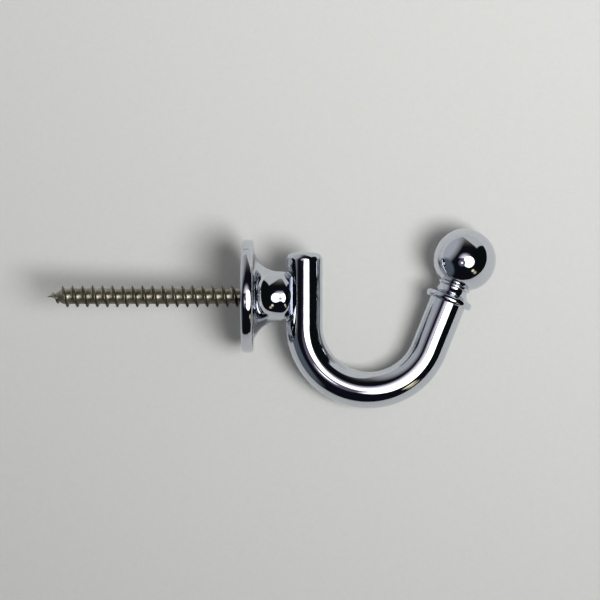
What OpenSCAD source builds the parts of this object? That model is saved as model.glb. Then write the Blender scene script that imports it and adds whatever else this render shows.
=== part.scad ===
// Ball-ended wall hook on a turned rose, held by a hanger screw.
//
// The hook is a round bar bent to a J, with a turned ball at its open end.
// The rose is a flanged collar that stands the hook off the wall, and the
// screw runs from the wall through the rose into the back of the hook.
//
// Millimetres. The origin is on the wall plane, on the screw's axis.
// +X points out of the wall, +Z is up, and the J lies in the XZ plane.

/* [Hanger screw] */
// Diameter over the thread, at the wood end and at the machine end
screw_d = 4.0; // [3.5:0.1:4.8]
// Length of wood thread behind the wall plane, with its point
screw_reach = 35; // [20:1:60]
// Length of the gimlet point
point_len = 2.8; // [2:0.1:6]
// Diameter of the plain shank between the two threads
shank_d = 3.4; // [2.5:0.1:3.5]
// Chamfer where the plain shank meets each thread, and at the machine end
thread_chamfer = 0.3; // [0.1:0.05:0.5]
// Space left between the machine end and the bottom of its hole
end_gap = 0.3; // [0.1:0.1:0.6]

/* [Rose] */
// Diameter of the flange that bears on the wall
rose_d = 20.5; // [17:0.5:30]
// Thickness of the flange at its rim
rose_t = 2.2; // [1.5:0.1:3.5]
// Radius of the bulge across the rim
rim_crown_r = 2.6; // [2:0.1:8]
// Rounding of the two edges of the rim
rim_edge_r = 0.55; // [0.1:0.05:0.7]
// Radius of the hollow sweep from the flange down to the neck
flare_r = 4.6; // [2:0.1:5]
// Diameter of the neck
neck_d = 9.0; // [7:0.1:10]
// Radius of the bulge that draws the neck in towards the hook
neck_crown_r = 2.1; // [1.5:0.1:2.1]
// Length of that bulge along the neck
neck_crown_len = 1.2; // [0.5:0.1:1.4]
// How deep the hook's bar sits in the end of the neck
seat_depth = 0.5; // [0.05:0.05:0.8]
// Gap all round between the rose's bore and the screw threads
bore_clearance = 0.2; // [0.1:0.05:0.4]

/* [Hook] */
// Diameter of the bar
rod_d = 6.55; // [5:0.05:8]
// Distance from the wall to the axis of the upright leg
standoff = 11.3; // [10.5:0.1:16]
// Height of the leg's top above the screw's axis
leg_rise = 8.0; // [5:0.1:15]
// Drop from the screw's axis to the start of the bend
leg_drop = 5.3; // [3:0.1:20]
// Radius of the bend, to the middle of the bar
bend_r = 11.6; // [9:0.05:25]
// How far the outer arm leans away from the upright, in degrees
arm_lean = 21.9; // [0:0.1:40]
// Straight length of the outer arm, from the bend to the collar
arm_len = 9.1; // [2:0.1:25]
// Radius of the shallow dome on the leg's top
top_dome_r = 10; // [5:0.5:50]
// Rounding of the leg's top edge
top_edge_r = 1.3; // [0.1:0.05:1.5]
// Metal left between the screw hole's drill point and the far side of the bar
back_wall = 0.8; // [0.5:0.1:1.5]

/* [Ball end] */
// Diameter of the ball
ball_d = 11.25; // [9:0.05:16]
// Diameter of the collar under the ball
collar_d = 8.5; // [7.5:0.1:10]
// Thickness of the collar
collar_t = 1.25; // [0.8:0.05:2]
// Radius of the bulge across the collar's rim
collar_crown_r = 0.9; // [0.85:0.05:3]
// Rounding of the collar's two edges
collar_edge_r = 0.2; // [0.05:0.05:0.35]
// Smallest diameter, at the end of the hollow above the collar
waist_d = 5.3; // [4:0.1:6]
// Height of the waist above the collar
waist_rise = 1.6; // [1:0.05:2]
// Width of the flat left on the collar, outside the hollow
collar_step = 0.05; // [0.03:0.01:0.3]
// Diameter over the small bead under the ball
bead_d = 5.9; // [4.5:0.1:7]
// Radius of the bead's own rounding
bead_r = 0.42; // [0.3:0.02:0.6]

/* [Hidden] */
$fn = 96;

chrome = [0.80, 0.81, 0.83];
zinc_steel = [0.56, 0.54, 0.46];

// Angle of a common drill's point, measured across
drill_point = 118;
// Flat left on the very tip of the gimlet point
tip_r = 0.1;
// How far a cutting shape runs past the face that it cuts
past = 1;
// Curves that should only touch cross by this much instead, so that they fuse
// cleanly
hair = 0.001;
// The arm starts this far inside the bend, and is thinner by a step that can't
// be seen, so that the two surfaces meet in one clean ring
arm_lap = 0.1;
arm_step = 0.005;

// Radius of a bulging rim's flat face, which ends where its edge rounding starts
function rim_flat_r(radius, thickness, crown, edge) =
    radius - crown + sqrt(pow(crown - edge, 2) - pow(thickness / 2 - edge, 2)) + hair;

screw_r = screw_d / 2;
shank_r = shank_d / 2;
rose_r = rose_d / 2;
neck_r = neck_d / 2;
rod_r = rod_d / 2;
ball_r = ball_d / 2;
collar_r = collar_d / 2;
waist_r = waist_d / 2;

// The bar's side nearest the wall, and the neck's end which it sinks into
bar_face = standoff - rod_r;
neck_end = bar_face + seat_depth;

// The rose's bore clears the screw
bore_r = screw_r + bore_clearance;

// The flare starts on the flange's flat face, so it is no wider than that face
rose_flat_r = rim_flat_r(rose_r, rose_t, rim_crown_r, rim_edge_r);
flare_fit_r = min(flare_r, rose_flat_r - neck_r);
flare_end = rose_t + flare_fit_r;

// The hole in the back of the bar ends in a drill point
hole_r = screw_r;
drill_h = hole_r / tan(drill_point / 2);
hole_end = standoff + rod_r - back_wall - drill_h;
screw_end = hole_end - end_gap;

// The machine thread starts where the bar closes all round it, and the plain
// shank fills the bore up to there
machine_start = standoff - sqrt(pow(rod_r, 2) - pow(screw_r, 2));

// The bend turns from the upright to the line of the leaning arm
bend_turn = 180 - arm_lean;

// The hollow above the collar rises from the collar's flat to meet the waist
collar_flat_r = rim_flat_r(collar_r, collar_t, collar_crown_r, collar_edge_r);
cove_w = collar_flat_r - collar_step - waist_r;
cove_r = (pow(cove_w, 2) + pow(waist_rise, 2)) / (2 * cove_w);

// The ball stands on its bead, one bead radius above the waist, and closes
// on the bead's widest line
bead_rise = collar_t + waist_rise + bead_r;
ball_rise = bead_rise + sqrt(pow(ball_r, 2) - pow(bead_d / 2 - bead_r, 2));

// Turns a profile drawn with X as radius and Y as the distance from the wall
module turn_on_screw_axis() {
    rotate([0, 90, 0]) rotate_extrude() children();
}

// Half section of a disc whose rim bulges and has rounded edges
module rim_profile(radius, thickness, crown, edge) {
    half = thickness / 2;
    flat_r = rim_flat_r(radius, thickness, crown, edge);
    // The bulge meets an edge rounding at this height from mid thickness
    join_y = (half - edge) * crown / (crown - edge);

    square([flat_r, thickness]);
    intersection() {
        translate([radius - crown, half]) circle(r = crown);
        translate([0, half - join_y]) square([radius, 2 * join_y]);
    }
    for (y = [edge, thickness - edge])
        translate([flat_r, y]) circle(r = edge);
}

// Half section of a round bar whose top is a shallow dome with a rounded edge
module bar_profile(radius, length, dome, edge) {
    edge_x = radius - edge;
    edge_y = length - dome + sqrt(pow(dome - edge, 2) - pow(edge_x, 2)) + hair;
    // The dome meets the edge rounding at this radius
    join_x = edge_x * dome / (dome - edge);

    square([radius, edge_y]);
    translate([edge_x, edge_y]) circle(r = edge);
    intersection() {
        translate([0, length - dome]) circle(r = dome);
        square([join_x, length]);
    }
}

// The bar's upright leg, down to the start of the bend
module leg() {
    translate([standoff, 0, -leg_drop])
        rotate_extrude()
            bar_profile(rod_r, leg_drop + leg_rise, top_dome_r, top_edge_r);
}

// Puts what follows at the middle of the bend
module about_bend() {
    translate([standoff + bend_r, 0, -leg_drop]) children();
}

module bend() {
    about_bend()
        rotate([90, 0, 0])
            rotate_extrude(angle = bend_turn, start = 180)
                translate([bend_r, 0]) circle(r = rod_r);
}

// Half section of the collar, cove, bead and ball, measured from under the collar
module ball_end_profile() {
    rim_profile(collar_r, collar_t, collar_crown_r, collar_edge_r);
    // The cove sweeps from the collar's top in to the waist
    difference() {
        translate([0, collar_t / 2]) square([collar_flat_r, collar_t / 2 + waist_rise]);
        translate([waist_r + cove_r, collar_t + waist_rise]) circle(r = cove_r);
    }
    square([waist_r, ball_rise]);
    translate([bead_d / 2 - bead_r, bead_rise]) circle(r = bead_r);
    intersection() {
        translate([0, ball_rise]) circle(r = ball_r);
        translate([0, ball_rise - ball_r]) square([ball_r, ball_d]);
    }
}

// The straight arm and its ball end, turned as one
module arm() {
    about_bend()
        rotate([0, arm_lean, 0])
            translate([bend_r, 0, 0])
                rotate_extrude() {
                    translate([0, -arm_lap])
                        square([rod_r - arm_step, arm_lap + arm_len + collar_t / 2]);
                    translate([0, arm_len]) ball_end_profile();
                }
}

// The blind hole for the screw's machine thread, open towards the wall
module screw_hole() {
    turn_on_screw_axis()
        polygon([
            [0, bar_face - past],
            [hole_r, bar_face - past],
            [hole_r, hole_end],
            [0, hole_end + drill_h]
        ]);
}

module hook() {
    color(chrome)
        difference() {
            union() {
                leg();
                bend();
                arm();
            }
            screw_hole();
        }
}

// Half section of the hollow sweep from the flange down to the neck
module flare_profile() {
    foot_r = neck_r + flare_fit_r;
    difference() {
        square([foot_r, flare_end]);
        translate([foot_r, flare_end]) circle(r = flare_fit_r);
    }
}

// Half section of the neck, drawn in towards its end by a gentle bulge
module neck_profile() {
    crown_start = max(flare_end, neck_end - neck_crown_len);
    square([neck_r, crown_start]);
    intersection() {
        translate([neck_r - neck_crown_r, crown_start]) circle(r = neck_crown_r);
        square([neck_r, neck_end]);
    }
}

// Half section of the rose: flange, flare and neck, cut off at the neck's end
module rose_profile() {
    difference() {
        intersection() {
            union() {
                rim_profile(rose_r, rose_t, rim_crown_r, rim_edge_r);
                flare_profile();
                neck_profile();
            }
            square([rose_r, neck_end]);
        }
        translate([0, -past]) square([bore_r, neck_end + 2 * past]);
    }
}

// The neck's end is hollowed across to seat the round bar
module rose() {
    color(chrome)
        difference() {
            turn_on_screw_axis() rose_profile();
            translate([standoff, 0, -rose_r])
                cylinder(r = rod_r, h = rose_d);
        }
}

// Wood thread and machine thread are drawn at their outer diameter
module screw() {
    color(zinc_steel)
        turn_on_screw_axis()
            polygon([
                [0, -screw_reach],
                [tip_r, -screw_reach],
                [screw_r, -screw_reach + point_len],
                [screw_r, 0],
                [shank_r, thread_chamfer],
                [shank_r, machine_start - thread_chamfer],
                [screw_r, machine_start],
                [screw_r, screw_end - thread_chamfer],
                [screw_r - thread_chamfer, screw_end],
                [0, screw_end]
            ]);
}

hook();
rose();
screw();
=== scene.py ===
# %% [markdown]
# # A chromed wall hook, made cell by cell
# The real thing is three pieces: a J-shaped hook cast and polished with its
# ball end, a turned rose that stands it off the wall, and a hanger screw.
# Nearly every surface on it is round, so the lesson is about turning, which
# Blender calls spinning. A half outline is drawn once and swung round its axis.
# Polished chrome hides nothing, because it shows the room bent by the form. So
# the meshes are dense and even, and the room gets as much care as the metal.

# %% Load the frame
import math

import bmesh
import bpy
from mathutils import Matrix, Vector


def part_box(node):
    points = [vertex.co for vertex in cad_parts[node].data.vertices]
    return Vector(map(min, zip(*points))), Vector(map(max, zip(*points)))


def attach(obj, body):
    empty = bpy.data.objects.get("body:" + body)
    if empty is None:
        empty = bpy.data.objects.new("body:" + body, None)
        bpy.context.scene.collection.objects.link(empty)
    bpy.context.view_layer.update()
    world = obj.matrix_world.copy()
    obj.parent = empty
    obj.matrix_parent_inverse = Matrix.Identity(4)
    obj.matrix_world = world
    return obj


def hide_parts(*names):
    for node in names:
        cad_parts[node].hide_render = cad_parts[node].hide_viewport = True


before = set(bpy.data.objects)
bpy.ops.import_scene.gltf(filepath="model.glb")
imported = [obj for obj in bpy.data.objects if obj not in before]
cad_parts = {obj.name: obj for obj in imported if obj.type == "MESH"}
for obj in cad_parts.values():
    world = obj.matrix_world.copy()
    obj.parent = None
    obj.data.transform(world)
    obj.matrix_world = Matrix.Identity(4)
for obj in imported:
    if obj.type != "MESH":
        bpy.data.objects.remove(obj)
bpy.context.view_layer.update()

MM = 0.001
print("nodes:", sorted(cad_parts))

# %% [markdown]
# ## Sizes
# The frame says where each piece is and how large. Only what a box can't tell
# is written here: the bar's thickness, its bend, and the small turned details.
# The lean of the outer arm follows from the place of the ball, because the arm
# leaves the bend along a tangent that passes through the ball's middle.

# %% Sizes of the bar, taken from the frame where it gives them
hook_low, hook_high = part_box("hook")
rose_low, rose_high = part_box("rose")
screw_low, screw_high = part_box("screw")

bar_r = 3.275 * MM
bend_r = 11.6 * MM
leg_top = 8.0 * MM
ball_r = (hook_high.y - hook_low.y) / 2
rose_r = (rose_high.y - rose_low.y) / 2
thread_r = (screw_high.y - screw_low.y) / 2

bar_x = hook_low.x + bar_r
bend_mid = Vector((bar_x + bend_r, 0, hook_low.z + bar_r + bend_r))
ball_mid = Vector((hook_high.x - ball_r, 0, hook_high.z - ball_r))

to_ball = ball_mid - bend_mid
arm_to_ball = math.sqrt(to_ball.length_squared - bend_r**2)
arm_lean = math.atan2(to_ball.x, to_ball.z) - math.atan2(bend_r, arm_to_ball)
print("arm leans", round(math.degrees(arm_lean), 2), "degrees")
print("ball is", round(arm_to_ball / MM, 2), "mm up the arm")

# %% [markdown]
# ## Drawing an outline
# A turner's template is a line made of straight cuts and round sweeps. Here one
# vertex is the pen. Extruding it draws a straight cut, and spinning it about a
# point draws an arc, so every round is a true arc of the right radius.
# Typing in long lists of points would be harder to read and easy to get wrong.

# %% The pen
class Pen:
    """Draws a half outline by moving one vertex. X is the radius, Z the height."""

    def __init__(self, mesh, radius, height):
        self.mesh = mesh
        self.tip = bmesh.ops.create_vert(mesh, co=(radius, 0, height))["vert"][0]

    def line(self, radius, height, steps=1):
        stride = (Vector((radius, 0, height)) - self.tip.co) / steps
        for _ in range(steps):
            made = bmesh.ops.extrude_vert_indiv(self.mesh, verts=[self.tip])
            self.tip = made["verts"][0]
            bmesh.ops.translate(self.mesh, verts=[self.tip], vec=stride)
        return self

    def arc(self, middle, end, steps):
        """Sweeps to the end point about a middle point, the short way round."""
        centre = Vector((middle[0], 0, middle[1]))
        start = self.tip.co - centre
        finish = Vector((end[0], 0, end[1])) - centre
        turn = math.atan2(start.z, start.x) - math.atan2(finish.z, finish.x)
        turn = (turn + math.pi) % (2 * math.pi) - math.pi
        made = bmesh.ops.spin(
            self.mesh, geom=[self.tip], cent=centre, axis=(0, 1, 0), angle=turn, steps=steps
        )
        self.tip = next(g for g in made["geom_last"] if isinstance(g, bmesh.types.BMVert))
        return self


print("the pen draws straight lines and arcs")

# %% A full turn
AROUND = 160
WELD = 0.0002 * MM


def turn_outline(mesh):
    """Spins everything drawn so far round the Z axis into a closed skin."""
    bmesh.ops.spin(
        mesh,
        geom=mesh.verts[:] + mesh.edges[:],
        cent=(0, 0, 0),
        axis=(0, 0, 1),
        angle=2 * math.pi,
        steps=AROUND,
        use_merge=True,
    )
    bmesh.ops.remove_doubles(mesh, verts=mesh.verts, dist=WELD)


step_on_ball = 2 * math.pi * ball_r / AROUND
print("a full turn is", AROUND, "steps, of", round(step_on_ball / MM, 3), "mm on the ball")

# %% [markdown]
# ## The leg
# The upright leg is plain round bar. Its top was filed to a shallow dome and its
# edge broken, so the light rolls over it. The dome and the edge rounding are two
# arcs that share a tangent, and the middle of the small arc lies inside the
# large one.

# %% Turn the leg
dome_r = 10 * MM
top_edge_r = 1.3 * MM


def moved(mesh, matrix):
    """Moves a whole mesh, and hands it back."""
    bmesh.ops.transform(mesh, matrix=matrix, verts=mesh.verts)
    return mesh


def leg_mesh():
    mesh = bmesh.new()
    edge_x = bar_r - top_edge_r
    edge_z = leg_top - dome_r + math.sqrt((dome_r - top_edge_r) ** 2 - edge_x**2)
    share = dome_r / (dome_r - top_edge_r)
    join = (edge_x * share, leg_top - dome_r + (edge_z - leg_top + dome_r) * share)
    pen = Pen(mesh, 0, leg_top)
    pen.arc((0, leg_top - dome_r), join, steps=14)
    pen.arc((edge_x, edge_z), (bar_r, edge_z), steps=14)
    pen.line(bar_r, bend_mid.z, steps=40)
    turn_outline(mesh)
    return moved(mesh, Matrix.Translation((bar_x, 0, 0)))


leg = leg_mesh()
print("leg:", len(leg.faces), "faces")

# %% [markdown]
# ## The bend
# A bent bar is a circle that travels along an arc, and spin does exactly that
# when its axis stands outside the circle. The steps are as short as the spacing
# round the bar, because long thin faces make the streak of light wobble.

# %% Bend the bar
BEND_STEPS = 200


def bend_mesh():
    mesh = bmesh.new()
    bmesh.ops.create_circle(mesh, cap_ends=False, segments=AROUND, radius=bar_r)
    moved(mesh, Matrix.Translation((bar_x, 0, bend_mid.z)))
    bmesh.ops.spin(
        mesh,
        geom=mesh.verts[:] + mesh.edges[:],
        cent=bend_mid,
        axis=(0, 1, 0),
        angle=-(math.pi - arm_lean),
        steps=BEND_STEPS,
    )
    return mesh


bend = bend_mesh()
print("bend:", len(bend.faces), "faces,", round(180 - math.degrees(arm_lean), 1), "degrees")

# %% [markdown]
# ## The ball end
# This is the showpiece of the hook: a collar with a bulging rim, a hollow cove,
# a small bead and the ball. It is turned on the arm's own axis, so it is drawn
# upright, from the arm's foot to the ball's pole, and then leant over. Each edge
# keeps its own small rounding, which is what draws the thin lines of light.

# %% Sizes of the ball end
collar_r = 4.25 * MM
collar_t = 1.25 * MM
collar_crown_r = 0.9 * MM
collar_edge_r = 0.2 * MM
collar_step = 0.05 * MM
waist_r = 2.65 * MM
waist_rise = 1.6 * MM
bead_widest_r = 2.95 * MM
bead_round_r = 0.42 * MM
bead_mid_r = bead_widest_r - bead_round_r

bead_z = arm_to_ball - math.sqrt(ball_r**2 - bead_mid_r**2)
waist_z = bead_z - bead_round_r
collar_z = waist_z - waist_rise - collar_t
print("collar starts", round(collar_z / MM, 2), "mm up the arm")

# %% Draw a rim, and find where the bead meets the ball
def rim(pen, radius, base, thickness, crown, edge, steps):
    """Draws a rim that bulges and has two rounded edges, from its base up."""
    half = thickness / 2
    edge_x = radius - crown + math.sqrt((crown - edge) ** 2 - (half - edge) ** 2)
    # The bulge meets an edge rounding in line with the middles of both arcs
    share = crown / (crown - edge)
    join_x = radius - crown + (edge_x - radius + crown) * share
    join_z = (half - edge) * share
    middle = base + half
    pen.line(edge_x, base, steps=4)
    pen.arc((edge_x, base + edge), (join_x, middle - join_z), steps=steps)
    pen.arc((radius - crown, middle), (join_x, middle + join_z), steps=2 * steps)
    pen.arc((edge_x, base + thickness - edge), (edge_x, base + thickness), steps=steps)
    return edge_x


def ball_meets_bead():
    """The point where the bead's round crosses the ball's, outside the bead's middle."""
    # The ball's circle passes through the bead's middle, so the crossing is on
    # the ball, one bead radius away from there
    turn = 2 * math.asin(bead_round_r / 2 / ball_r)
    start = math.atan2(bead_z - arm_to_ball, bead_mid_r)
    return (
        ball_r * math.cos(start + turn),
        arm_to_ball + ball_r * math.sin(start + turn),
    )


ball_low = ball_meets_bead()
print("ball leaves its bead at a radius of", round(ball_low[0] / MM, 2), "mm")

# %% Turn the arm and its ball end
def arm_mesh():
    mesh = bmesh.new()
    pen = Pen(mesh, bar_r, 0)
    pen.line(bar_r, collar_z, steps=40)
    flat_r = rim(pen, collar_r, collar_z, collar_t, collar_crown_r, collar_edge_r, steps=7)

    cove_w = flat_r - collar_step - waist_r
    cove_r = (cove_w**2 + waist_rise**2) / (2 * cove_w)
    pen.line(flat_r - collar_step, collar_z + collar_t)
    pen.arc((waist_r + cove_r, waist_z), (waist_r, waist_z), steps=16)

    # The bead leaves the waist and runs out where the ball begins
    inset = waist_r - bead_mid_r
    bead_foot = bead_z - math.sqrt(bead_round_r**2 - inset**2)
    pen.line(waist_r, bead_foot)
    pen.arc((bead_mid_r, bead_z), (bead_widest_r, bead_z), steps=6)
    pen.arc((bead_mid_r, bead_z), ball_low, steps=6)
    pen.arc((0, arm_to_ball), (ball_r, arm_to_ball), steps=40)
    pen.arc((0, arm_to_ball), (0, arm_to_ball + ball_r), steps=60)
    turn_outline(mesh)

    place = Matrix.Translation(bend_mid) @ Matrix.Rotation(arm_lean, 4, "Y")
    return moved(mesh, place @ Matrix.Translation((bend_r, 0, 0)))


arm = arm_mesh()
print("arm and ball end:", len(arm.faces), "faces")

# %% [markdown]
# ## One casting
# Leg, bend and arm are one piece of metal, so their skins are joined and the
# doubled rings are welded. The three were drawn with the same number of steps,
# so the rings meet vertex on vertex. Then normals are turned outwards, and
# edges sharper than a chosen angle are marked, which keeps the creases crisp.

# %% Join the three and make the hook
SHARP = math.radians(28)


def poured_into(target, source):
    """Adds one mesh to another, and frees the one that was added."""
    data = bpy.data.meshes.new("pour")
    source.to_mesh(data)
    target.from_mesh(data)
    source.free()
    bpy.data.meshes.remove(data)


def made_object(mesh, name):
    """Turns a bmesh into a smooth object with its faces outwards."""
    bmesh.ops.remove_doubles(mesh, verts=mesh.verts, dist=WELD)
    bmesh.ops.recalc_face_normals(mesh, faces=mesh.faces)
    holes = sum(1 for e in mesh.edges if not e.is_manifold)
    data = bpy.data.meshes.new(name)
    mesh.to_mesh(data)
    mesh.free()
    data.shade_smooth()
    data.set_sharp_from_angle(angle=SHARP)
    piece = bpy.data.objects.new(name, data)
    bpy.context.scene.collection.objects.link(piece)
    print(name, "has", len(data.polygons), "faces and", holes, "open edges")
    return piece


casting = bmesh.new()
for part in (leg, bend, arm):
    poured_into(casting, part)
hook = made_object(casting, "chrome_hook_bar")

# %% [markdown]
# ## The screw's hole
# The machine end of the screw goes into a blind hole in the back of the leg. It
# can't be seen once the rose is on, but a piece that comes apart needs it. A
# drill leaves a cone at the bottom, so the cutter is a turned drill shape, and a
# Boolean takes it out of the bar.

# %% Drill the leg
DRILL_POINT = math.radians(118)
back_wall = 0.8 * MM
drill_r = thread_r
drill_h = drill_r / math.tan(DRILL_POINT / 2)
hole_end = bar_x + bar_r - back_wall - drill_h
ALONG_X = Matrix.Rotation(math.pi / 2, 4, "Y")


def drill_mesh():
    mesh = bmesh.new()
    drill_start = hook_low.x - drill_r
    pen = Pen(mesh, 0, drill_start)
    pen.line(drill_r, drill_start)
    pen.line(drill_r, hole_end)
    pen.line(0, hole_end + drill_h)
    turn_outline(mesh)
    return moved(mesh, ALONG_X)


def cut_away(piece, cutter):
    """Takes the cutter out of the piece, and throws the cutter away."""
    cut = piece.modifiers.new("cut", "BOOLEAN")
    cut.operation = "DIFFERENCE"
    cut.solver = "EXACT"
    cut.object = cutter
    shown = piece.evaluated_get(bpy.context.evaluated_depsgraph_get())
    data = bpy.data.meshes.new_from_object(shown)
    piece.modifiers.clear()
    piece.data = data
    bpy.data.objects.remove(cutter)


cut_away(hook, made_object(drill_mesh(), "drill"))
print("after drilling:", len(hook.data.polygons), "faces")

# %% [markdown]
# ## The rose
# The rose is a turned flange. Its rim bulges and has two rounded edges, its face
# is flat, and a hollow flare sweeps down to the neck, which draws in a little
# where it meets the bar. Going once round the outline, through the bore as well,
# makes a skin with no open end.

# %% Turn the rose
rose_t = 2.2 * MM
rim_crown_r = 2.6 * MM
rim_edge_r = 0.55 * MM
flare_r = 4.6 * MM
neck_r = 4.5 * MM
neck_crown_r = 2.1 * MM
neck_crown_len = 1.2 * MM
bore_clearance = 0.2 * MM
bore_r = thread_r + bore_clearance
neck_end = rose_high.x


def rose_mesh():
    mesh = bmesh.new()
    pen = Pen(mesh, bore_r, 0)
    rim(pen, rose_r, 0, rose_t, rim_crown_r, rim_edge_r, steps=12)
    flare_end = rose_t + flare_r
    pen.line(neck_r + flare_r, rose_t, steps=3)
    pen.arc((neck_r + flare_r, flare_end), (neck_r, flare_end), steps=70)

    crown_start = neck_end - neck_crown_len
    pen.line(neck_r, crown_start, steps=3)
    crown_x = neck_r - neck_crown_r
    end_r = crown_x + math.sqrt(neck_crown_r**2 - neck_crown_len**2)
    pen.arc((crown_x, crown_start), (end_r, neck_end), steps=20)
    pen.line(bore_r, neck_end, steps=20)
    pen.line(bore_r, 0, steps=40)
    turn_outline(mesh)
    return moved(mesh, ALONG_X)


rose_skin = rose_mesh()
print("rose:", len(rose_skin.faces), "faces")

# %% [markdown]
# ## The rose's seat
# The bar is round and the neck's end is flat, so the end is hollowed half a
# millimetre to seat the bar. The hollow is so shallow that no cut is needed:
# each vertex that would be inside the bar is drawn back on to its surface.

# %% Seat the rose on the bar
def seat_on_bar(mesh):
    moves = 0
    for vert in mesh.verts:
        if abs(vert.co.y) < bar_r:
            surface = bar_x - math.sqrt(bar_r**2 - vert.co.y**2)
            if vert.co.x > surface:
                vert.co.x = surface
                moves += 1
    return moves


print("vertices seated on the bar:", seat_on_bar(rose_skin))
rose = made_object(rose_skin, "chrome_rose_flange")

# %% [markdown]
# ## The screw
# A thread is one tooth that climbs as it turns. Spin can add a step along the
# axis to each step round it, so a single outline of one pitch, swept that way,
# makes the whole thread, and each turn ends where the next one begins. This is a
# wood screw's tooth: a thin crest on flanks that steepen towards it, with a wide
# round valley that leaves room for the wood.

# %% Sweep a thread
THREAD_STEPS = 56
# The sweep starts this many turns low, and has this many more than the length
# needs, so that the thread runs past both ends before it is trimmed
TURNS_BELOW = 1.5
TURNS_MORE = 2


def sweep_thread(mesh, tooth, pitch, length):
    """Sweeps a one-pitch outline up the Z axis, trimmed flat from 0 to length."""
    tooth(mesh, pitch)
    turns = math.ceil(length / pitch) + TURNS_MORE
    bmesh.ops.spin(
        mesh,
        geom=mesh.verts[:] + mesh.edges[:],
        cent=(0, 0, 0),
        axis=(0, 0, 1),
        angle=2 * math.pi * turns,
        steps=THREAD_STEPS * turns,
        dvec=(0, 0, pitch / THREAD_STEPS),
    )
    bmesh.ops.remove_doubles(mesh, verts=mesh.verts, dist=WELD)
    bmesh.ops.translate(mesh, verts=mesh.verts, vec=(0, 0, -TURNS_BELOW * pitch))
    for height, keep_above in ((0, True), (length, False)):
        bmesh.ops.bisect_plane(
            mesh,
            geom=mesh.verts[:] + mesh.edges[:] + mesh.faces[:],
            dist=WELD,
            plane_co=(0, 0, height),
            plane_no=(0, 0, 1),
            clear_inner=keep_above,
            clear_outer=not keep_above,
        )


print("a turn of thread is", THREAD_STEPS, "steps")

# %% Draw the two teeth and sweep the wood thread
wood_pitch = 1.8 * MM
wood_root_r = 1.40 * MM
machine_pitch = 0.7 * MM
machine_root_r = 1.57 * MM


def wood_tooth(mesh, pitch):
    """Valley, flank, thin crest, flank and valley, as one wavy outline."""
    depth = thread_r - wood_root_r
    pen = Pen(mesh, wood_root_r, 0)
    # Each pair is a share of the tooth's height, and a share of the pitch
    rise = ((0, 0.20), (0.03, 0.27), (0.10, 0.33), (0.25, 0.38), (0.55, 0.425), (1, 0.475))
    for share, along in rise:
        pen.line(wood_root_r + share * depth, along * pitch)
    for share, along in reversed(rise):
        pen.line(wood_root_r + share * depth, (1 - along) * pitch)
    pen.line(wood_root_r, pitch)


def machine_tooth(mesh, pitch):
    """A metal thread: straight flanks between narrow flats."""
    flank_start = 0.12 * pitch
    crest_start = 0.44 * pitch
    pen = Pen(mesh, machine_root_r, 0)
    pen.line(machine_root_r, flank_start)
    pen.line(thread_r, crest_start)
    pen.line(thread_r, pitch - crest_start)
    pen.line(machine_root_r, pitch - flank_start)
    pen.line(machine_root_r, pitch)


screw_reach = -screw_low.x
wood = bmesh.new()
sweep_thread(wood, wood_tooth, wood_pitch, screw_reach)
print("wood thread:", len(wood.faces), "faces,", round(screw_reach / wood_pitch, 1), "turns")

# %% [markdown]
# ## The point
# The last few millimetres taper to a gimlet point that starts the screw in bare
# wood. The core narrows faster than the crest, so the thread is still deep where
# it first bites.

# %% Taper the point
point_len = 2.8 * MM
# Share of the radius that is left at the very tip
tip_share = 0.05
# How the radius shrinks along the point: 1 is a straight taper, and more than 1
# is a hollow one
core_power = 1.5
crest_power = 1.0


def taper_point(mesh):
    depth = thread_r - wood_root_r
    for vert in mesh.verts:
        if vert.co.z < point_len:
            radius = math.hypot(vert.co.x, vert.co.y)
            crest = min(max((radius - wood_root_r) / depth, 0), 1)
            share = tip_share + (1 - tip_share) * vert.co.z / point_len
            narrow = share ** (core_power + (crest_power - core_power) * crest)
            vert.co.x *= narrow
            vert.co.y *= narrow


taper_point(wood)
print("point is", round(point_len / MM, 1), "mm long")

# %% [markdown]
# ## The rest of the screw
# In front of the wall the screw is plain inside the rose's bore, and ends in a
# machine thread inside the hook. Each thread was trimmed flat, which leaves a
# loop of open edges. A bridge joins that loop to a ring on the plain shank, and
# the last loops are filled, so that the screw is one closed skin.

# %% Find open ends and add rings
SAME_HEIGHT = 0.01 * MM


def open_loop(mesh, height):
    """The open edges that lie at one height."""
    return [
        e
        for e in mesh.edges
        if e.is_boundary and all(abs(v.co.z - height) < SAME_HEIGHT for v in e.verts)
    ]


def add_ring(mesh, radius, height):
    """Adds a circle of edges, and hands them back in the mesh's own order."""
    made = bmesh.ops.create_circle(mesh, cap_ends=False, segments=THREAD_STEPS, radius=radius)
    bmesh.ops.translate(mesh, verts=made["verts"], vec=(0, 0, height))
    ring = set(made["verts"])
    return [e for e in mesh.edges if ring.issuperset(e.verts)]


print("open edges at the wall end:", len(open_loop(wood, screw_reach)))

# %% Join the shank and the machine thread
shank_r = 1.7 * MM
chamfer = 0.3 * MM
end_gap = 0.3 * MM


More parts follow.
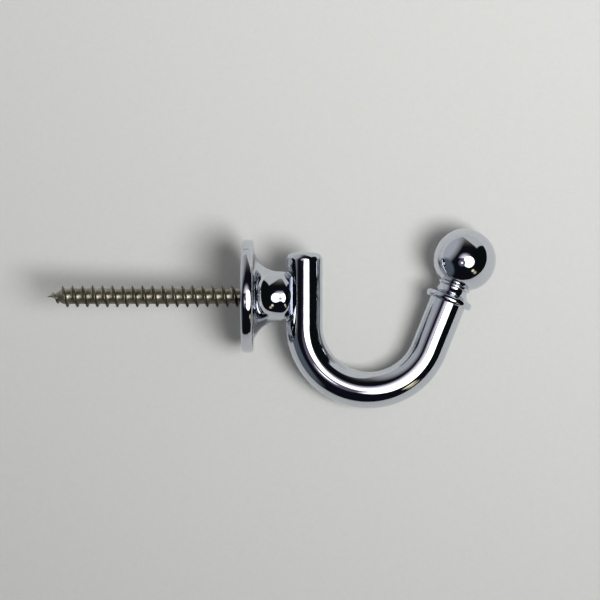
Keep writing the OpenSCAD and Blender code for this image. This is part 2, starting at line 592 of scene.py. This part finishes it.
def screw_mesh(mesh):
    """Heights run up from the point, so the wall plane is at the screw's reach."""
    wall = screw_reach
    # Where the bar closes all round the machine thread
    closed_round = bar_x - math.sqrt(bar_r**2 - thread_r**2)
    machine_start = wall + closed_round
    machine_len = hole_end - end_gap - closed_round
    machine = bmesh.new()
    sweep_thread(machine, machine_tooth, machine_pitch, machine_len - chamfer)
    poured_into(mesh, moved(machine, Matrix.Translation((0, 0, machine_start))))

    wood_end = open_loop(mesh, wall)
    machine_low = open_loop(mesh, machine_start)
    machine_high = open_loop(mesh, machine_start + machine_len - chamfer)
    shank_low = add_ring(mesh, shank_r, wall + chamfer)
    shank_high = add_ring(mesh, shank_r, machine_start - chamfer)
    nose = add_ring(mesh, thread_r - 2 * chamfer, machine_start + machine_len)
    for first, second in (
        (wood_end, shank_low),
        (shank_low, shank_high),
        (shank_high, machine_low),
        (machine_high, nose),
    ):
        bmesh.ops.bridge_loops(mesh, edges=first + second)
    rims = open_loop(mesh, 0) + open_loop(mesh, machine_start + machine_len)
    bmesh.ops.holes_fill(mesh, edges=rims, sides=0)
    return moved(mesh, ALONG_X @ Matrix.Translation((0, 0, -wall)))


screw = made_object(screw_mesh(wood), "steel_hanger_screw")

# %% [markdown]
# ## Tie the pieces to the frame
# Each piece stands for one CAD node. All three ride on the one body there is,
# because nothing moves once the hook is screwed to its rose and to the wall.

# %% Replace the CAD nodes
for piece, node, slot in (
    (hook, "hook", "chrome_hook"),
    (rose, "rose", "chrome_rose"),
    (screw, "screw", "screw_steel"),
):
    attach(piece, "root")
    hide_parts(node)
    print(piece.name, "stands for", node)

# %% [markdown]
# ## Shader maths as plain expressions
# A material is a sum of small effects, and sums read best as sums. The class
# below wraps a socket, and adding or multiplying it adds the Math node for it.
# Any other node comes from one method, which is given the node's type, its
# settings and what goes into its sockets.

# %% Sockets that do arithmetic
class Value:
    """A number, colour or vector that varies, as the output socket of a node."""

    def __init__(self, paint, socket):
        self.paint = paint
        self.socket = socket

    def maths(self, operation, first, second):
        return self.paint.node("ShaderNodeMath", {"operation": operation}, {0: first, 1: second})

    def __add__(self, other):
        return self.maths("ADD", self, other)

    def __sub__(self, other):
        return self.maths("SUBTRACT", self, other)

    def __rsub__(self, other):
        return self.maths("SUBTRACT", other, self)

    def __mul__(self, other):
        return self.maths("MULTIPLY", self, other)

    def __truediv__(self, other):
        return self.maths("DIVIDE", self, other)

    def __pow__(self, other):
        return self.maths("POWER", self, other)

    __radd__ = __add__
    __rmul__ = __mul__

    def clipped(self):
        return self.maths("MINIMUM", self.maths("MAXIMUM", self, 0.0), 1.0)

    def rising(self, start, end):
        """0 below start and 1 above end, with a straight ramp between."""
        return ((self - start) / (end - start)).clipped()


print("a Value knows + - * / **, clipped and rising")

# %% Trees of nodes
class Paint:
    """The node tree of a material or a world."""

    def __init__(self, owner):
        owner.use_nodes = True
        self.tree = owner.node_tree
        self.tree.nodes.clear()

    def node(self, kind, settings=None, inputs=None, output=0):
        """Adds any node, and hands back one of its outputs."""
        made = self.tree.nodes.new(kind)
        for name, value in (settings or {}).items():
            setattr(made, name, value)
        for name, value in (inputs or {}).items():
            if isinstance(value, Value):
                self.tree.links.new(value.socket, made.inputs[name])
            else:
                made.inputs[name].default_value = value
        return Value(self, made.outputs[output]) if made.outputs else None


print("a Paint adds nodes to a material or a world")

# %% [markdown]
# ## Places on the surface
# A pattern must stay put when the piece or the camera moves, so it is read from
# Object coordinates. They are in metres, so the scale of a pattern is easy to
# think about: it is one over the size of its spots.

# %% Helpers for patterns
def place(paint, squeeze=(1, 1, 1)):
    """Object coordinates, with each axis squeezed to stretch the pattern."""
    spot = paint.node("ShaderNodeTexCoord", output="Object")
    return paint.node("ShaderNodeMapping", {}, {"Vector": spot, "Scale": squeeze})


def spots(paint, where, size, detail, rough=0.5):
    """Soft noise from 0 to 1 whose spots are about this many metres across."""
    return paint.node(
        "ShaderNodeTexNoise",
        {},
        {"Vector": where, "Scale": 1 / size, "Detail": detail, "Roughness": rough},
    )


def vector_maths(paint, operation, *values, output="Vector"):
    return paint.node(
        "ShaderNodeVectorMath", {"operation": operation}, dict(enumerate(values)), output=output
    )


def blend_colour(paint, mask, low, high):
    """A colour that goes from low to high as the mask goes from 0 to 1."""
    # A Mix node has its two colours in sockets 6 and 7, and hands out output 2
    ends = [(*c, 1) if isinstance(c, tuple) else c for c in (low, high)]
    return paint.node(
        "ShaderNodeMix", {"data_type": "RGBA"}, {"Factor": mask, 6: ends[0], 7: ends[1]}, output=2
    )


def bumped(paint, height, depth, under=None):
    """A normal that is tilted by a height from 0 to 1 over this depth in metres."""
    inputs = {"Height": height, "Distance": depth, "Strength": 1.0}
    if under is not None:
        inputs["Normal"] = under
    return paint.node("ShaderNodeBump", {}, inputs)


def finish_with(paint, sockets):
    """Ends a material in a Principled shader with these sockets."""
    shader = paint.node("ShaderNodeBsdfPrincipled", {}, sockets)
    paint.node("ShaderNodeOutputMaterial", {}, {"Surface": shader})


print("helpers: place, spots, vector_maths, blend_colour, bumped, finish_with")

# %% [markdown]
# ## Bright chrome
# Chrome plate reflects a little more than half the light, and slightly blue. It
# is never a perfect mirror: the polished casting under it has a slow ripple, the
# polishing mop leaves a finer one, and fingers leave faint cloudy patches that
# are a touch rougher. All three are far too small to see except in the edges of
# reflections, and that is where they make metal look like metal.

# %% Make the chrome
CHROME = (0.61, 0.635, 0.69)
CHROME_DULL = (0.56, 0.58, 0.63)
# The mop's ripple is a twentieth as deep as the casting's
MOP_SHARE = 0.05


def chrome_material(name, ripple):
    """Chrome over a casting whose slow ripple is this many metres deep."""
    material = bpy.data.materials.new(name)
    paint = Paint(material)
    where = place(paint)
    cloud = spots(paint, where, 5 * MM, detail=3).rising(0.45, 0.75)
    fine = spots(paint, where, 0.35 * MM, detail=2)
    slow = bumped(paint, spots(paint, where, 2.4 * MM, detail=1), ripple)
    polish = bumped(paint, fine, ripple * MOP_SHARE, under=slow)
    finish_with(
        paint,
        {
            "Base Color": blend_colour(paint, cloud, CHROME, CHROME_DULL),
            "Metallic": 1.0,
            "Roughness": 0.025 + cloud * 0.03 + fine * 0.01,
            "Normal": polish,
        },
    )
    return material


hook.data.materials.append(chrome_material("bright_chrome_bar", 0.012 * MM))
rose.data.materials.append(chrome_material("bright_chrome_rose", 0.009 * MM))
print("chrome on", hook.name, "and", rose.name)

# %% [markdown]
# ## Dull zinc on a rolled thread
# The screw is plain steel with a thin yellowish zinc coat, bright in the valleys
# and along the very crests. The flanks of the thread are darker: a painted shade
# where the teeth shade each other, with random streaks of grime all over. The
# distance from the screw's axis tells flank from valley, so the darkening follows
# the thread. The lower side is darkened too, a painted shade read from the height.

# %% Make the screw's steel
ZINC = (0.38, 0.36, 0.28)
TARNISH = (0.21, 0.20, 0.14)
# The dark colour of painted shade on the flanks and lower side, and of grime
GRIME_AND_SHADE = (0.05, 0.045, 0.032)


def screw_material():
    material = bpy.data.materials.new("dull_zinc_steel")
    paint = Paint(material)
    spot = paint.node("ShaderNodeTexCoord", output="Object")
    off_axis = vector_maths(paint, "MULTIPLY", spot, (0, 1, 1))
    radius = vector_maths(paint, "LENGTH", off_axis, output="Value")
    climb = radius.rising(wood_root_r, thread_r)
    # Painted shade: the thread's flanks are darkened where the teeth shade each other
    flank = climb.rising(0.12, 0.4) * (1 - climb.rising(0.9, 1.0))
    streaks = spots(paint, place(paint, (1, 2.5, 2.5)), 0.5 * MM, detail=4, rough=0.6)
    patches = spots(paint, place(paint), 1.6 * MM, detail=3)
    height = paint.node("ShaderNodeSeparateXYZ", {}, {"Vector": spot}, output="Z")
    # Painted shade: the lower side of the screw is darkened
    # This ramp runs downwards, from half a millimetre below the axis
    underside_shade = height.rising(-0.5 * MM, -1.1 * MM)
    # Painted shade on the flanks and the lower side, with streaks of grime
    flank_shade_and_streaks = flank * (0.5 + patches * 0.7) + streaks.rising(0.5, 0.8) * 0.4
    shade_and_grime = (flank_shade_and_streaks + underside_shade * 0.6).clipped()
    coat = blend_colour(paint, patches.rising(0.4, 0.65), ZINC, TARNISH)
    finish_with(
        paint,
        {
            "Base Color": blend_colour(paint, shade_and_grime, coat, GRIME_AND_SHADE),
            "Metallic": 0.98 - shade_and_grime * 0.3,
            "Roughness": 0.27 + shade_and_grime * 0.2 + streaks * 0.08,
            "Normal": bumped(paint, streaks, 0.014 * MM),
        },
    )
    return material


screw.data.materials.append(screw_material())
print("zinc on", screw.name)

# %% [markdown]
# ## The paper under it
# The hook lies on a sheet of pale paper, which in this frame stands behind it,
# because the frame keeps +Z up. A hook lies on three points: the rim of the
# rose, the bend and the ball. They stick out by different amounts, so the paper
# leans a little, and the shadows are short at the ball and long at the rose.
# Its back is see-through, so that the hook can be seen from behind as well, and
# a ray that has come through its back doesn't meet its front in a reflection.

# %% Lay the sheet
sheet_half = 130 * MM
sheet_gap = 0.05 * MM
view_mid = Vector((10.5 * MM, 0, -0.7 * MM))


def toward(right, up):
    """The direction from the hook to the front, turned right and up in degrees."""
    r, u = math.radians(right), math.radians(up)
    return Vector((math.sin(r) * math.cos(u), -math.cos(r) * math.cos(u), math.sin(u)))


# With this lean the sheet touches the rose's rim, the bend and the ball
SHEET_FACES = toward(-8.9, 12.2)


def sheet_object():
    """A flat sheet, brought up behind the hook and rose until it touches them."""
    reach = max(-v.co.dot(SHEET_FACES) for piece in (hook, rose) for v in piece.data.vertices)
    rise = view_mid.dot(SHEET_FACES) + reach + sheet_gap
    middle = view_mid - SHEET_FACES * rise
    mesh = bmesh.new()
    bmesh.ops.create_grid(mesh, x_segments=60, y_segments=60, size=sheet_half)
    moved(mesh, SHEET_FACES.to_track_quat("Z", "Y").to_matrix().to_4x4())
    moved(mesh, Matrix.Translation(middle))
    data = bpy.data.meshes.new("paper_sheet")
    mesh.to_mesh(data)
    mesh.free()
    data.shade_smooth()
    sheet = bpy.data.objects.new("paper_sheet", data)
    bpy.context.scene.collection.objects.link(sheet)
    return sheet


sheet = sheet_object()
print("sheet is", round(2 * sheet_half / MM), "mm square")

# %% Make the paper
PAPER = (0.655, 0.66, 0.635)
# Shares of that colour at the darkest and the lightest fibres
FIBRE_TONES = (0.96, 1.03)


def paper_material():
    material = bpy.data.materials.new("pale_paper")
    paint = Paint(material)
    where = place(paint)
    fibre = spots(paint, where, 0.9 * MM, detail=4, rough=0.6)
    tooth = spots(paint, where, 0.3 * MM, detail=3)
    darker, lighter = (tuple(c * tone for c in PAPER) for tone in FIBRE_TONES)
    shader = paint.node(
        "ShaderNodeBsdfPrincipled",
        {},
        {
            "Base Color": blend_colour(paint, fibre, darker, lighter),
            "Roughness": 0.85,
            "Specular IOR Level": 0.2,
            "Normal": bumped(paint, tooth, 0.02 * MM),
        },
    )
    clear = paint.node("ShaderNodeBsdfTransparent")
    back = paint.node("ShaderNodeNewGeometry", output="Backfacing")
    passed = paint.node("ShaderNodeLightPath", output="Transparent Depth")
    unseen = (back + passed).clipped()
    both = paint.node("ShaderNodeMixShader", {}, {0: unseen, 1: shader, 2: clear})
    paint.node("ShaderNodeOutputMaterial", {}, {"Surface": both})
    return material


sheet.data.materials.append(paper_material())
print("paper on", sheet.name, "which is staged")

# %% [markdown]
# ## The light
# One soft lamp hangs 0.8 m away, to the right of the lens and a little below it.
# It throws the short soft shadows. Its beam is aimed above the sheet, to the
# right, and fades away from there, so the sheet is a little darker at the lower
# left. It is hidden from the metal, which is shown a painted lamp instead.

# %% Hang the lamp
hook_mid = Vector((18 * MM, 0, -3 * MM))
beam_aim = Vector((75 * MM, 0, 190 * MM))


def faced(obj, location, at):
    """Puts a lamp or a camera somewhere. Both look along their own -Z."""
    obj.location = location
    obj.rotation_euler = (location - at).to_track_quat("Z", "Y").to_euler()


def soft_lamp(right, up, distance, width, beam, power):
    """Hangs a round lamp. Its beam is given in degrees, and its power in watts."""
    light = bpy.data.lights.new("soft_lamp", "AREA")
    light.shape = "DISK"
    light.size = width
    light.spread = math.radians(beam)
    light.energy = power
    lamp = bpy.data.objects.new("soft_lamp", light)
    bpy.context.scene.collection.objects.link(lamp)
    faced(lamp, hook_mid + toward(right, up) * distance, beam_aim)
    lamp.visible_camera = False
    lamp.visible_glossy = False
    return lamp


lamp = soft_lamp(right=20, up=-4.8, distance=0.8, width=0.35, beam=60, power=1.05)
print("lamp at", [round(c, 2) for c in lamp.location])

# %% [markdown]
# ## What the chrome sees
# Polished chrome is a map of the room, so the room is painted straight on to the
# sky, patch by patch. A patch is a round area in one direction, with a soft or a
# sharp edge. Where nothing is laid the room is dark, and that gives chrome its
# black. The brightest patch is a large round lamp, with the body of a camera in
# front of its left side. Round it are a soft glow above the lens, a warm
# ceiling, a pale wall at each side with a darker patch on it, and two warm
# window panes. The half of the room behind the paper repeats the front half, so
# that the chrome is as bright when it is seen from the back.

# %% Patches of light
class Room:
    """The colour of each direction, built up by laying patches over each other."""

    def __init__(self, paint, dark):
        self.paint = paint
        self.straight = paint.node("ShaderNodeTexCoord", output="Generated")
        # The front is -Y, so a direction is folded to the front by its y
        flat = vector_maths(paint, "MULTIPLY", self.straight, (1, 0, 1))
        size = vector_maths(paint, "ABSOLUTE", self.straight)
        self.look = vector_maths(paint, "MULTIPLY_ADD", size, (0, -1, 0), flat)
        self.colour = dark

    def facing(self, axis):
        """How squarely each direction faces this one, from -1 to 1."""
        return vector_maths(self.paint, "DOT_PRODUCT", self.look, tuple(axis), output="Value")

    def round(self, right, up, radius, soft):
        """A round mask. All four are in degrees, and soft is half its edge's width."""
        outer = math.cos(math.radians(radius + soft))
        inner = math.cos(math.radians(radius - soft))
        return self.facing(toward(right, up)).rising(outer, inner)

    def glow(self, right, up, radius):
        """A mask that is 1 in one direction and fades away to nothing round it."""
        return self.facing(toward(right, up)).rising(math.cos(math.radians(radius)), 1) ** 2

    def lay(self, mask, colour):
        self.colour = blend_colour(self.paint, mask, self.colour, colour)


print("a Room lays round patches and glows")

# %% Lay the patches
DARK = (0.006, 0.006, 0.010)
CEILING = (0.36, 0.33, 0.28)
RIGHT_WALL = (0.66, 0.67, 0.66)
RIGHT_DOORWAY = (0.004, 0.006, 0.006)
LEFT_WALL = (0.50, 0.51, 0.53)
LEFT_SHADE = (0.105, 0.13, 0.15)
LAMP = (4.2, 4.2, 4.2)
LAMP_GLOW = (1.9, 1.75, 1.95)
CAMERA_BODY = (0.16, 0.14, 0.19)
CAMERA_LAMP = (2.2, 2.2, 2.2)
NEAR_PANE = (1.3, 1.2, 0.75)
FAR_PANE = (0.75, 0.66, 0.40)


def chrome_room(paint):
    """Each patch is placed by how far right and up it is, its radius and its softness."""
    room = Room(paint, DARK)
    room.lay(room.glow(0, 112, 68), CEILING)
    room.lay(room.round(120, 43, 49.6, 1.5), RIGHT_WALL)
    room.lay(room.round(72.5, 3, 38.8, 1.5), RIGHT_DOORWAY)
    room.lay(room.round(-89, 36, 44.7, 12), LEFT_WALL)
    room.lay(room.round(-78, -22, 27, 5), LEFT_SHADE)

    # The glow starts above the lens, so that it stays out of the upright leg
    above = room.facing(Vector((0, 0, 1))).rising(0.045, 0.105)
    room.lay(room.glow(0, -2, 29) * above, LAMP_GLOW)
    room.lay(room.round(13.5, -9.5, 19.5, 2), LAMP)

    # The camera's body hides the lamp's left side, and has a small lamp itself
    room.lay(room.round(-11.5, -12.5, 12.5, 2.5), CAMERA_BODY)
    room.lay(room.round(-12, -13, 3.0, 2), CAMERA_LAMP)

    # Two warm window panes, low at the right
    room.lay(room.round(36, -40, 4.5, 1.5), NEAR_PANE)
    room.lay(room.round(50, -45, 4.5, 2), FAR_PANE)
    return room


print("the painted lamp is", round(LAMP[0] / RIGHT_WALL[0], 1), "times as bright as the right wall")

# %% [markdown]
# ## The room
# The same sky serves three kinds of ray. Straight to the camera it is a pale
# backdrop. In the metal it is the painted room, with a strip of the backdrop
# just behind the sheet's plane, where a larger sheet would run on. All that the
# rest of the scene needs from it is a faint even light, which keeps the shadows
# open.

# %% Paint the room
BACKDROP = (0.66, 0.665, 0.64)
AMBIENT = (0.235, 0.235, 0.24)


def paint_room():
    world = bpy.data.worlds.new("room")
    bpy.context.scene.world = world
    paint = Paint(world)
    camera_ray = paint.node("ShaderNodeLightPath", output="Is Camera Ray")
    mirrored = paint.node("ShaderNodeLightPath", output="Is Glossy Ray")
    through = paint.node("ShaderNodeLightPath", output="Is Transmission Ray")
    room = chrome_room(paint)
    behind = paint.node("ShaderNodeSeparateXYZ", {}, {"Vector": room.straight}, output="Y")
    strip = behind.rising(0.03, 0.05) * (1 - behind.rising(0.3, 0.35))
    room.lay(strip, BACKDROP)
    colour = blend_colour(paint, mirrored, AMBIENT, room.colour)
    colour = blend_colour(paint, (camera_ray + through).clipped(), colour, BACKDROP)
    shader = paint.node("ShaderNodeBackground", {}, {"Color": colour, "Strength": 1.0})
    paint.node("ShaderNodeOutputWorld", {}, {"Surface": shader})
    return world


print("room painted with", len(paint_room().node_tree.nodes), "nodes")

# %% [markdown]
# ## The camera
# The camera looks at the hook from 0.65 m with a long lens, very slightly from
# below and from the right.

# %% Set up the camera
view_width = 108 * MM
camera_distance = 0.65
camera_right = 0.7
camera_up = -1.5


def camera():
    data = bpy.data.cameras.new("camera")
    data.sensor_width = 36
    data.lens = data.sensor_width * camera_distance / view_width
    data.clip_start = 0.01
    eye = bpy.data.objects.new("camera", data)
    bpy.context.scene.collection.objects.link(eye)
    faced(eye, view_mid + toward(camera_right, camera_up) * camera_distance, view_mid)
    bpy.context.scene.camera = eye
    print("lens:", round(data.lens), "mm")


camera()
bpy.context.scene.view_settings.view_transform = "Standard"
